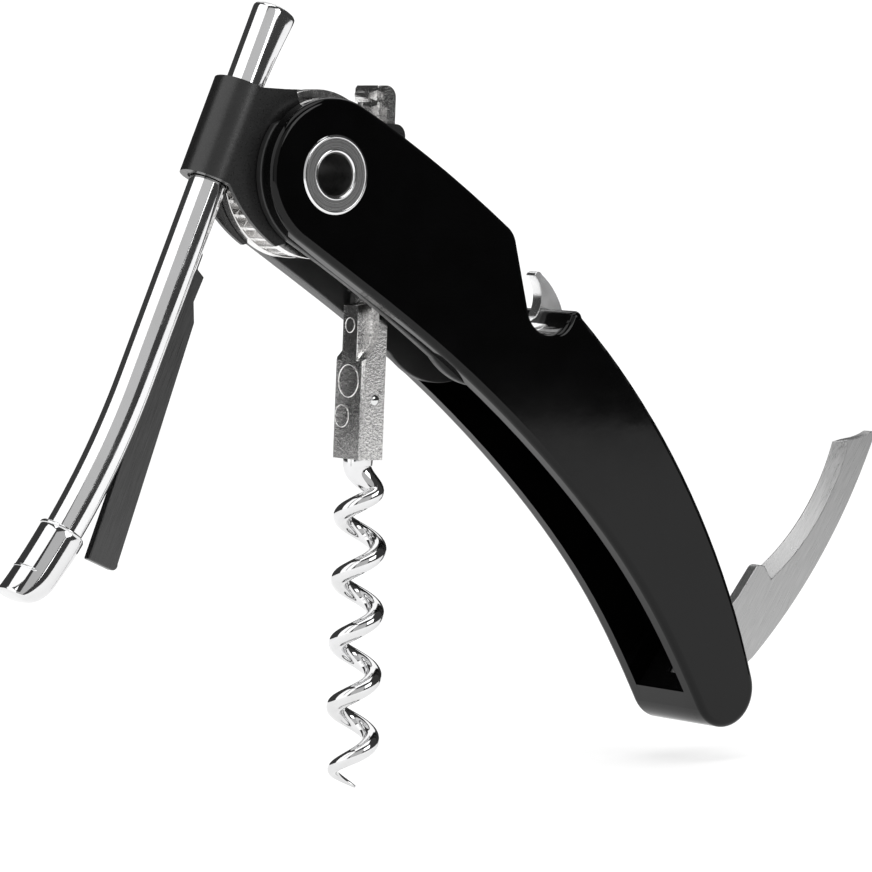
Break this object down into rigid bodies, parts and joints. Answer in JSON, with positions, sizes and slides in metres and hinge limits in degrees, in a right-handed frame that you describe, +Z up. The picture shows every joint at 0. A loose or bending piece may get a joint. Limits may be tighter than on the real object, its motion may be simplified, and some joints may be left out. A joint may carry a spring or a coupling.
{
  "type": "lever corkscrew",
  "caption": "Rack-and-pinion lever corkscrew: a hollow handle drives a toothed rack with a wire worm, with a fold-out stand, foil knife and cap lifter.",
  "frame": {"origin": "middle of the hollow axle that the handle, the stand and the rack guide swing on", "axes": "+Y runs along the axle to the far side of the handle, +Z is up, away from the worm's point, and +X runs towards the tail of the handle"},
  "size_m": [0.1908, 0.0194, 0.1348],
  "materials": {
    "cover": "glossy, pressed flat with a rounded rim",
    "spine": "glossy moulded",
    "liner": "fine matte texture",
    "chrome": "polished plate over casting or drawn wire and tube",
    "cast_chrome": "plated over a rough casting",
    "axle": "turned, bright",
    "steel": "satin ground",
    "dark_steel": "fine brushed, dull",
    "bracket": "satin black",
    "bush": "smooth low-friction"
  },
  "bodies": {
    "guide": {"guide_cheek_near": "bracket", "guide_cheek_far": "bracket", "guide_back": "bracket", "guide_rivets": "dark_steel"},
    "handle": {"handle_cover_near": "cover", "handle_cover_far": "cover", "handle_spine": "spine", "liner_near": "liner", "liner_far": "liner", "cap_lifter": "chrome", "pinion_drum": "cast_chrome", "axle_sleeve": "axle", "axle_washer_near": "axle", "axle_washer_far": "axle", "cover_pins": "dark_steel", "knife_pin": "dark_steel"},
    "rack": {"rack": "cast_chrome", "worm": "chrome", "worm_cross_pin": "dark_steel"},
    "bracket": {"stand_bracket": "bracket", "sleeve_bush": "bush"},
    "stand": {"stand_tube": "chrome", "stand_foot": "chrome", "rest_bar": "dark_steel"},
    "knife": {"knife_blade": "steel"}
  },
  "joints": [
    {"name": "handle_swing", "type": "hinge", "parent": "guide", "child": "handle", "pos_m": [0, 0, 0], "axis": [0, -1, 0], "range_deg": [-38, 60]},
    {"name": "rack_slide", "type": "slide", "parent": "guide", "child": "rack", "axis": [0.0488, 0, 0.9988], "range_m": [-0.009, 0.0135]},
    {"name": "stand_swing", "type": "hinge", "parent": "guide", "child": "bracket", "pos_m": [0, 0, 0], "axis": [0, -1, 0], "range_deg": [-8, 34]},
    {"name": "tube_slide", "type": "slide", "parent": "bracket", "child": "stand", "axis": [0.4194, 0, 0.9078], "range_m": [0, 0.014]},
    {"name": "knife_swing", "type": "hinge", "parent": "handle", "child": "knife", "pos_m": [0.0873, 0, -0.0923], "axis": [0, -1, 0], "range_deg": [0, 56]}
  ],
  "couplings": [
    {"joint": "rack_slide", "follows": "handle_swing", "m_per_rad": 0.0128}
  ]
}
